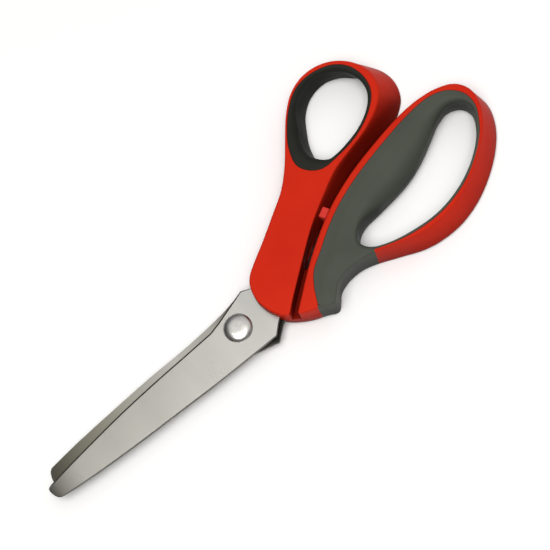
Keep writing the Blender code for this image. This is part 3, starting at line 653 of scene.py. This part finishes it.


# The shares after the grain below darken each colour with painted shade in gaps and low on walls.
RED = moulded("red_plastic", (0.54, 0.020, 0.008), (0.58, 0.025, 0.009), (0.36, 0.44),
              (2600.0, 0.02, 0.12), shade_share=0.72, specular=0.02)
GREY = moulded("grey_rubber", (0.064, 0.070, 0.056), (0.072, 0.078, 0.063), (0.46, 0.54),
               (3000.0, 0.03, 0.2), shade_share=0.9, specular=0.08)
# The liner is the grip's grey rubber painted darker: painted shade for its steep roll into the hole.
SHADED_LINER_RUBBER = moulded("liner_rubber_painted_shade", (0.020, 0.021, 0.017), (0.026, 0.027, 0.022), (0.46, 0.56),
                (3000.0, 0.03, 0.2), shade_share=0.85, specular=0.03)
PINK = moulded("stop_rubber", (0.74, 0.04, 0.028), (0.80, 0.055, 0.04), (0.45, 0.6),
               (2600.0, 0.03, 0.2), shade_share=0.3, specular=0.1)
# The blade steel darkens from the pivot out to the tip: painted shade along the blade, deepest at the tip.
STEEL = ground_steel("blade_satin_tip_shade", (0.27, 0.31),
                     (0.0, (0.53, 0.52, 0.49)), (0.3, (0.50, 0.49, 0.455)), (0.55, (0.41, 0.40, 0.365)),
                     (0.88, (0.36, 0.352, 0.32)), (0.97, (0.26, 0.253, 0.225)), (1.0, (0.12, 0.117, 0.1)),
                     along=(-20, 99.5))
# The inner faces' steel is dark at the root and towards the tip: painted shade where the other blade covers
# them.
INNER_STEEL_SHADED = ground_steel("blade_inner_painted_shade", (0.33, 0.40),
                           (0.05, (0.03, 0.03, 0.026)), (0.2, (0.30, 0.29, 0.26)), (0.4, (0.39, 0.38, 0.35)),
                           (0.75, (0.20, 0.19, 0.155)), (1.0, (0.06, 0.058, 0.044)), along=(-14, 94))
# Bevels and steep faces get a dark steel: painted shade and painted dark reflection.
DARK_EDGE_STEEL = ground_steel("blade_edges_painted_shade", (0.4, 0.5),
                          (0.3, (0.09, 0.085, 0.072)), (0.7, (0.13, 0.125, 0.108)))
BOLT = turned_steel("bolt_steel", (0.62, 0.605, 0.58), (0.25, 0.32))


# ---- handles ----


def outline_run(above, below, leaning, front, back, hole, hole_lean):
    """The whole outer wall of a handle, whose edges leave room for the hole at both ends."""
    fields = {}
    for side, points in (("above", above), ("below", below)):
        loop = through(points, SAMPLES)
        fields[side] = loop
        fields["into_" + side] = -outward(loop)
        fields["lean_" + side] = lean_of(loop, *leaning)
    top = fields["above"]
    fields["front"] = soften(np.minimum(front, room_inside(top, fields["into_above"], top, hole)))
    low = fields["below"] + fields["lean_below"]
    room = room_inside(low, fields["into_below"], low, hole + hole_lean)
    fields["back"] = soften(np.minimum(back, room))
    return Run(**fields)


def ring_piece(name, outer_rows, hole_rows, surface, body, node, front_crown, back_crown):
    """A moulding between an outer wall and a hole."""
    mesh = bmesh.new()
    ends = [wall(mesh, rows) for rows in (outer_rows, hole_rows)]
    fill(mesh, [end[0] for end in ends], front_crown)
    fill(mesh, [end[1] for end in ends], back_crown)
    return finish(name, mesh, surface, body, node)


def thumb_handle():
    """The red thumb handle, and the rubber liner in its hole."""
    hole = through(THUMB_HOLE, SAMPLES)
    parting = through(THUMB_PARTING, SAMPLES)
    leaning = (THUMB_SPAN, THUMB_LEAN, THUMB_PALM_FLARE)
    lean = lean_of(parting, *leaning)
    above = THUMB_NOSE + THUMB_REST
    below = THUMB_WEDGE + THUMB_REST
    edge = THUMB_EDGE[0] - THUMB_EDGE[1] * gap_side(through(above, SAMPLES))
    back_edge = THUMB_BACK_EDGE[0] - THUMB_BACK_EDGE[1] * gap_side(through(below, SAMPLES))
    outer = outline_run(above, below, (*leaning, THUMB_OUTER_FLARE), edge, back_edge, parting, lean)
    out = outward(parting)

    core_side = plain_run(parting + out * PARTING_GAP / 2, out, lean, *CORE_SEAM)
    ring_piece("thumb_handle_shell", rows_down(outer, THUMB_SHELF, bulge=WALL_BULGE),
               rows_down(core_side, THUMB_SHELF, CORE_SEAM_ROWS),
               RED, "front_half", "thumb_handle_core", crown(FRONT, *THUMB_CROWN), crown(BACK))

    liner_side = plain_run(parting - out * PARTING_GAP / 2, -out, lean, *SOFT_SEAM)
    across = parting - hole
    width = np.linalg.norm(across, axis=1)
    roll = np.minimum(soften(width - LINER_RIM), LINER_ROLL)
    hole_side = plain_run(hole, across / width[:, None], lean_of(hole, *leaning),
                          roll, np.minimum(roll, HOLE_BACK_EDGE))
    ring_piece("thumb_liner", rows_down(liner_side, THUMB_SHELF, SOFT_SEAM_ROWS),
               rows_down(hole_side, THUMB_SHELF, ROLL_ROWS, drop=LINER_ROLL_DROP, bulge=LINER_BULGE),
               SHADED_LINER_RUBBER, "front_half", "thumb_soft_liner", crown(FRONT), crown(BACK))


def gap_side(loop):
    """1 along the arm's long edge beside the other handle, 0 elsewhere."""
    normal = outward(loop)
    facing = np.clip(normal[:, 1] * 3 - 1, 0, 1)
    start, end = GAP_SPAN
    return soften(facing * (loop[:, 0] < end) * (loop[:, 0] > start))


def finger_handle():
    """The red finger handle, and the rubber grip that covers its palm, notch and hole."""
    hole = through(FINGER_HOLE, SAMPLES)
    parting = through(FINGER_PARTING, SAMPLES, closed=False)
    top = through(FINGER_WEDGE + FINGER_REST, SAMPLES)
    index = np.arange(len(top))
    notch = smoothstep((index - NOTCH_FROM) / NOTCH_EASE) * smoothstep((NOTCH_TO - index) / NOTCH_EASE)
    edge = FINGER_EDGE[0] - FINGER_EDGE[1] * notch
    hole_lean = lean_of(hole, FINGER_SPAN, STILL, FINGER_HOLE_FLARE)
    outer = outline_run(FINGER_WEDGE + FINGER_REST, FINGER_NOSE + FINGER_REST,
                        (FINGER_SPAN, STILL, FINGER_FLARE), edge, FINGER_BACK_EDGE, hole, hole_lean)
    along = np.gradient(parting, axis=0)
    along /= np.linalg.norm(along, axis=1)[:, None]
    out = np.stack([along[:, 1], -along[:, 0]], 1)
    out *= np.sign(out[2 * SAMPLES, 1])  # away from the hole, on the outer arm
    upright = np.zeros((len(parting), 2))

    core_side = plain_run(parting + out * PARTING_GAP / 2, out, upright, *CORE_SEAM)
    core = join(outer.part(NOTCH_TO, NOTCH_FROM), core_side.reversed())
    mesh = bmesh.new()
    front_rim, back_rim = wall(mesh, rows_down(core, FINGER_SHELF, bulge=WALL_BULGE))
    fill(mesh, [front_rim], crown(FRONT, *FINGER_CROWN))
    fill(mesh, [back_rim], crown(BACK))
    finish("finger_handle_shell", mesh, RED, "rear_half", "finger_handle_core")

    grip_side = plain_run(parting - out * PARTING_GAP / 2, -out, upright, *SOFT_SEAM)
    grip = join(outer.part(NOTCH_FROM, NOTCH_TO), grip_side)
    off_hole = outward(hole)
    palm = np.clip(0.5 - 0.55 * off_hole[:, 1], 0, 1)  # 1 on the palm's side of the hole, 0 opposite
    wide = GRIP_ROLL[0] + GRIP_ROLL[1] * palm
    room = room_inside(hole, off_hole, parting[: -SLANT_SPANS * SAMPLES], top)
    roll = soften(np.minimum(wide, GRIP_ROLL_SHARE * room), GRIP_ROLL_PASSES)
    hole_side = plain_run(hole, off_hole, hole_lean, roll, np.minimum(roll, HOLE_BACK_EDGE))
    ring_piece("finger_grip", rows_down(grip, FINGER_SHELF, bulge=WALL_BULGE),
               rows_down(hole_side, FINGER_SHELF, ROLL_ROWS, bulge=GRIP_BULGE),
               GREY, "rear_half", "finger_soft_grip", crown(FRONT, *GRIP_CROWN), crown(BACK))


def bumper():
    """The soft block between the handles, with rounded edges and ends that sink a little."""
    mesh = bmesh.new()
    place = Matrix.Translation(Vector(BUMPER_AT)) @ Matrix.Rotation(math.radians(BUMPER_TURN), 4, "Z")
    bmesh.ops.create_cube(mesh, size=1.0, matrix=place @ Matrix.Diagonal((*BUMPER_SIZE, 1)))
    bmesh.ops.bevel(mesh, geom=mesh.edges[:], offset=BUMPER_ROUND, segments=4, profile=0.5, affect="EDGES")
    for v in mesh.verts:
        local = place.inverted() @ v.co
        if abs(local.z) > BUMPER_ENDS:
            hollow = BUMPER_HOLLOW * (1 - (2 * local.x / BUMPER_SIZE[0]) ** 2)
            v.co = place @ (local - Vector((0, 0, math.copysign(hollow, local.z))))
    finish("stop_bumper", mesh, PINK, "front_half", "handle_stop_bumper")


# ---- blades ----


def tip_fall(x, side):
    """How far the outer face falls away at a blade's tip, where it is ground thin."""
    depth, start, length = FRONT_TIP if side > 0 else REAR_TIP
    return depth * max(0, (x - start) / length) ** 2


def blade_outline(shape):
    """Points round the blade, with True along the shoulder and the cutting edge."""
    spine = through(shape["spine"], SPINE_SAMPLES, closed=False)
    edge = through(shape["edge"], EDGE_SAMPLES, closed=False)
    tip = through([shape["edge"][-1], *shape["tip"], shape["spine"][0]], TIP_SAMPLES, closed=False)[1:-1]
    points = [*spine, *shape["heel"], *shape["shoulder"], *edge, *tip]
    start = len(spine) + len(shape["heel"])
    end = start + len(shape["shoulder"]) + len(edge)
    flags = [start <= i < end for i in range(len(points))]
    return np.array([tuple(p) for p in points]), np.array(flags)


def blade(name, shape, side, body):
    """A blade: side is 1 for the front one, whose teeth face down, and -1 for the rear one."""
    loop, cutting = blade_outline(shape)
    if signed_area(loop) < 0:
        loop, cutting = loop[::-1], cutting[::-1]
    out = outward(loop)
    fade = soften(cutting.astype(float), 3)
    width = BEVEL_WIDTH[0] + BEVEL_WIDTH[1] * fade
    drop = BEVEL_DROP[0] + BEVEL_DROP[1] * fade
    outer = OUTER - np.array([tip_fall(x, side) for x in loop[:, 0]])
    base = -TOOTH_RISE - BLANK_SPARE
    rows = [(loop - out * width[:, None], side * outer), (loop, side * (outer - drop)),
            (loop, np.full(len(loop), side * base))]
    mesh = bmesh.new()
    outer_rim, inner_rim = wall(mesh, rows)
    fill(mesh, [outer_rim], lambda x, y, d: side * (OUTER - tip_fall(x, side)), BLADE_SPACING)
    fill(mesh, [inner_rim], crown(side * base), INNER_SPACING)
    bmesh.ops.recalc_face_normals(mesh, faces=mesh.faces)
    if mesh.calc_volume(signed=True) < 0:
        bmesh.ops.reverse_faces(mesh, faces=mesh.faces)
    carved = carve(name, mesh, [relief(shape, side), teeth(side), disc_cutter()])
    carved.normal_update()
    # Inward faces take the inner steel and steep faces the edge steel, both colours with painted shade.
    for face in carved.faces:
        facing = face.normal.z * side
        face.material_index = 1 if facing < INNER_BELOW else 2 if facing < WALLS_BELOW else 0
    made = finish(name, carved, STEEL, body, name.replace("_plate", ""), sharp=BLADE_SHARP)
    for face in made.data.polygons:
        face.use_smooth = abs(face.normal.z) < FLAT_ABOVE
    made.data.materials.append(INNER_STEEL_SHADED)
    made.data.materials.append(DARK_EDGE_STEEL)


def object_of(name, mesh):
    """A scene object made from a mesh."""
    data = bpy.data.meshes.new(name)
    mesh.to_mesh(data)
    mesh.free()
    made = bpy.data.objects.new(name, data)
    bpy.context.scene.collection.objects.link(made)
    return made


def carve(name, mesh, cutters):
    """Cuts meshes out of another with exact Booleans and gives back the result as a mesh."""
    target = object_of(name + "_blank", mesh)
    tools = [object_of(f"{name}_tool_{i}", cutter) for i, cutter in enumerate(cutters)]
    for tool in tools:
        modifier = target.modifiers.new("cut", "BOOLEAN")
        modifier.operation = "DIFFERENCE"
        modifier.solver = "EXACT"
        modifier.object = tool
    bpy.context.view_layer.update()
    depsgraph = bpy.context.evaluated_depsgraph_get()
    result = bmesh.new()
    result.from_object(target, depsgraph)
    for made in (target, *tools):
        data = made.data
        bpy.data.objects.remove(made)
        bpy.data.meshes.remove(data)
    return result


def band_at(x):
    """How wide the toothed band is, so that neither blade's teeth show beyond the other blade."""
    rear, front = (np.interp(x, *zip(*shape["edge"])) for shape in (REAR_BLADE, FRONT_BLADE))
    return min(BAND, BAND_COVER * (rear - front))


def relief(shape, side):
    """Everything but the toothed band along the cutting edge."""
    edge = through(shape["edge"], EDGE_SAMPLES, closed=False)
    inner = [(x, y + side * band_at(x)) for x, y in edge if TEETH_FROM < x < TEETH_TO]
    near, far = -side * CUTTER_SIDE, side * CUTTER_SIDE
    root, tip = CUTTER_ENDS
    loop = [(TEETH_FROM, near), (TEETH_FROM, inner[0][1]), *inner, (TEETH_TO, inner[-1][1]),
            (TEETH_TO, near), (tip, near), (tip, far), (root, far), (root, near)]
    mesh = bmesh.new()
    wall(mesh, [(loop, [side * z] * len(loop)) for z in (INNER, -RELIEF_REACH)])
    bmesh.ops.holes_fill(mesh, edges=mesh.edges)
    bmesh.ops.triangulate(mesh, faces=[f for f in mesh.faces if len(f.verts) > 4])
    bmesh.ops.recalc_face_normals(mesh, faces=mesh.faces)
    return mesh


def teeth(side):
    """A corrugated solid of revolution about the pivot, which cuts the teeth."""
    middle = side * TOOTH_CLEARANCE / 2
    half = TOOTH_PITCH / 2
    count = int((TEETH_TO + CREST_BEYOND) / half)
    crests = [(CREST_FROM + k * half, middle + TOOTH_RISE * (-1) ** k) for k in range(count)]
    profile = [*crests, (crests[-1][0], -side * CUTTER_REACH), (crests[0][0], -side * CUTTER_REACH)]
    return lathe(profile, CUTTER_STEPS, True)


def disc_cutter():
    """The hole for the bolt."""
    ends = (CUTTER_REACH, -CUTTER_REACH)
    return lathe([(0, ends[0]), *((HOLE_RADIUS, z) for z in ends), (0, ends[1])], ROUND, False)


def lathe(profile, steps, closed):
    """Turns (radius, height) points about the pivot. An open profile starts and ends on the axis."""
    mesh = bmesh.new()
    rings = []
    for radius, z in profile:
        if radius == 0:
            rings.append([mesh.verts.new((0, 0, z))])
        else:
            angles = [2 * math.pi * k / steps for k in range(steps)]
            rings.append([mesh.verts.new((radius * math.cos(a), radius * math.sin(a), z)) for a in angles])
    pairs = list(zip(rings, rings[1:]))
    if closed:
        pairs.append((rings[-1], rings[0]))
    for a, b in pairs:
        for i in range(steps):
            j = (i + 1) % steps
            corners = [a[i % len(a)], a[j % len(a)], b[j % len(b)], b[i % len(b)]]
            unique = list(dict.fromkeys(corners))
            mesh.faces.new(unique)
    bmesh.ops.recalc_face_normals(mesh, faces=mesh.faces)
    return mesh


# ---- pivot ----


def rounded(profile, size, steps=3):
    """Rounds every corner of a closed (radius, height) profile that is off the axis."""
    made = []
    count = len(profile)
    for i, corner in enumerate(profile):
        here = np.array(corner, float)
        if here[0] == 0:
            made.append(tuple(here))
            continue
        back = np.array(profile[i - 1], float) - here
        ahead = np.array(profile[(i + 1) % count], float) - here
        cut = min(size, CORNER_SHARE * np.linalg.norm(back), CORNER_SHARE * np.linalg.norm(ahead))
        a = here + back / np.linalg.norm(back) * cut
        b = here + ahead / np.linalg.norm(ahead) * cut
        for k in range(steps + 1):
            t = k / steps
            made.append(tuple((1 - t) ** 2 * a + 2 * t * (1 - t) * here + t * t * b))
    return made


def bolt_profile(seat, tail):
    """(radius, height) points down a bolt: a crown, its rounded rim, the shank and a chamfered end."""
    brim = seat + HEAD_RIM
    rise = HEAD_RISE - HEAD_RIM
    shares = [k / HEAD_STEPS for k in range(HEAD_STEPS + 1)]
    cap = [(HEAD_RADIUS * share, brim + rise * (1 - share**HEAD_CURVE)) for share in shares]
    *cap, before, _, _ = cap  # the last steps give way to the rim's rounding, which starts towards them
    corners = [before, (HEAD_RADIUS, brim), (HEAD_RADIUS, seat), (SHANK_RADIUS, seat)]
    per_corner = HEAD_ROUND_STEPS + 1
    rim = rounded(corners, HEAD_ROUND, HEAD_ROUND_STEPS)[per_corner : 3 * per_corner]
    shank = [(SHANK_RADIUS, seat), (SHANK_RADIUS, tail + TAIL_CHAMFER), (SHANK_RADIUS - TAIL_CHAMFER, tail)]
    return [*cap, *rim, *shank, (0, tail)]


def pivot_stack():
    """The bolt and what it holds, except for the wave washer, which only gets its material."""
    half_gap = INNER - GAP
    seat = OUTER + GAP
    top = -seat
    low = top - FLAT_WASHER[1]
    nut_top = low - GAP - sum(WAVE_WASHER) - GAP
    bolt = lathe(bolt_profile(seat, nut_top - NUT[1]), ROUND, False)
    finish("bolt", bolt, BOLT, "rear_half", "pivot_bolt", sharp=PIVOT_SHARP)
    for name, node, radius, high, base in (
        ("spacer", "blade_spacer_washer", SPACER_RADIUS, half_gap, -half_gap),
        ("washer", "flat_washer", FLAT_WASHER[0], top, low),
        ("nut", "pivot_nut", NUT[0], nut_top, nut_top - NUT[1]),
    ):
        corners = [(HOLE_RADIUS, high), (radius, high), (radius, base), (HOLE_RADIUS, base)]
        mesh = lathe(rounded(corners, RING_ROUND), ROUND, True)
        if name == "nut":
            mesh = carve(name, mesh, [slot_cutter(turn, base) for turn in (0, 180)])
        finish(name, mesh, BOLT, "rear_half", node, sharp=PIVOT_SHARP)
    wave = frame["nodes"]["wave_washer"]
    wave.data.materials.clear()
    wave.data.materials.append(BOLT)


def slot_cutter(turn, low):
    """A box over the rim of the nut's lower face, for a slot that a spanner fits."""
    mesh = bmesh.new()
    angle = math.radians(turn)
    at = Matrix.Translation(Vector((math.cos(angle) * NUT[0], math.sin(angle) * NUT[0], low)))
    place = at @ Matrix.Rotation(angle, 4, "Z") @ Matrix.Diagonal((*NUT_SLOT, 1))
    bmesh.ops.create_cube(mesh, size=1.0, matrix=place)
    return mesh


# ---- studio ----


def panel(name, at, size, power, colour=(1, 1, 1)):
    """An area light that faces the origin."""
    data = bpy.data.lights.new(name, "AREA")
    data.shape = "RECTANGLE"
    data.size, data.size_y = size
    data.energy = power
    data.color = colour
    made = bpy.data.objects.new(name, data)
    made.location = at
    made.rotation_euler = Vector(at).to_track_quat("Z", "Y").to_euler()
    bpy.context.scene.collection.objects.link(made)


def sky():
    """A white room whose light depends on the direction that it comes from."""
    world = bpy.data.worlds.new("studio")
    world.use_nodes = True
    air = world.node_tree
    shader = air.nodes["Background"]
    where = air.nodes.new("ShaderNodeTexCoord")
    toward = air.nodes.new("ShaderNodeVectorMath")
    toward.operation = "DOT_PRODUCT"
    toward.inputs[1].default_value = SKY_TOP
    air.links.new(where.outputs["Generated"], toward.inputs[0])
    air.links.new(spread(air, toward.outputs["Value"], *SKY_LIGHT), shader.inputs["Strength"])
    shader.inputs["Color"].default_value = SKY_COLOUR
    bpy.context.scene.world = world


def pale_floor():
    """A matt floor that is almost white."""
    mesh = bmesh.new()
    bmesh.ops.create_grid(mesh, x_segments=1, y_segments=1, size=FLOOR_SIZE)
    floor = object_of("floor", mesh)
    paint = new_material("floor_paint", FLOOR_ROUGHNESS, specular=FLOOR_SPECULAR)
    tree = paint.node_tree
    darker, paler = ([tone] * 3 for tone in FLOOR_TONES)
    grey = mottled(tree, noise(tree, *FLOOR_MOTTLE), darker, paler)
    tree.links.new(grey, tree.nodes["Principled BSDF"].inputs["Base Color"])
    floor.data.materials.append(paint)


def camera():
    """The camera, at its place about the pivot."""
    data = bpy.data.cameras.new("camera")
    data.lens = LENS
    data.sensor_width = SENSOR
    data.clip_start = CLIP_START
    made = bpy.data.objects.new("camera", data)
    turn = Matrix((CAMERA_RIGHT, CAMERA_UP, CAMERA_BACK)).transposed()
    made.matrix_world = Matrix.Translation(PIVOT + Vector(CAMERA_AT) * MM) @ turn.to_4x4()
    bpy.context.scene.collection.objects.link(made)
    bpy.context.scene.camera = made


def studio():
    bpy.context.scene.view_settings.view_transform = "Standard"
    sky()
    panel("key", KEY_AT, KEY_SIZE, KEY_POWER, KEY_COLOUR)
    panel("sky", FILL_AT, FILL_SIZE, FILL_POWER)
    pale_floor()
    camera()


thumb_handle()
finger_handle()
bumper()
blade("front_blade_plate", FRONT_BLADE, 1, "front_half")
blade("rear_blade_plate", REAR_BLADE, -1, "rear_half")
pivot_stack()
studio()

bpy.context.view_layer.update()
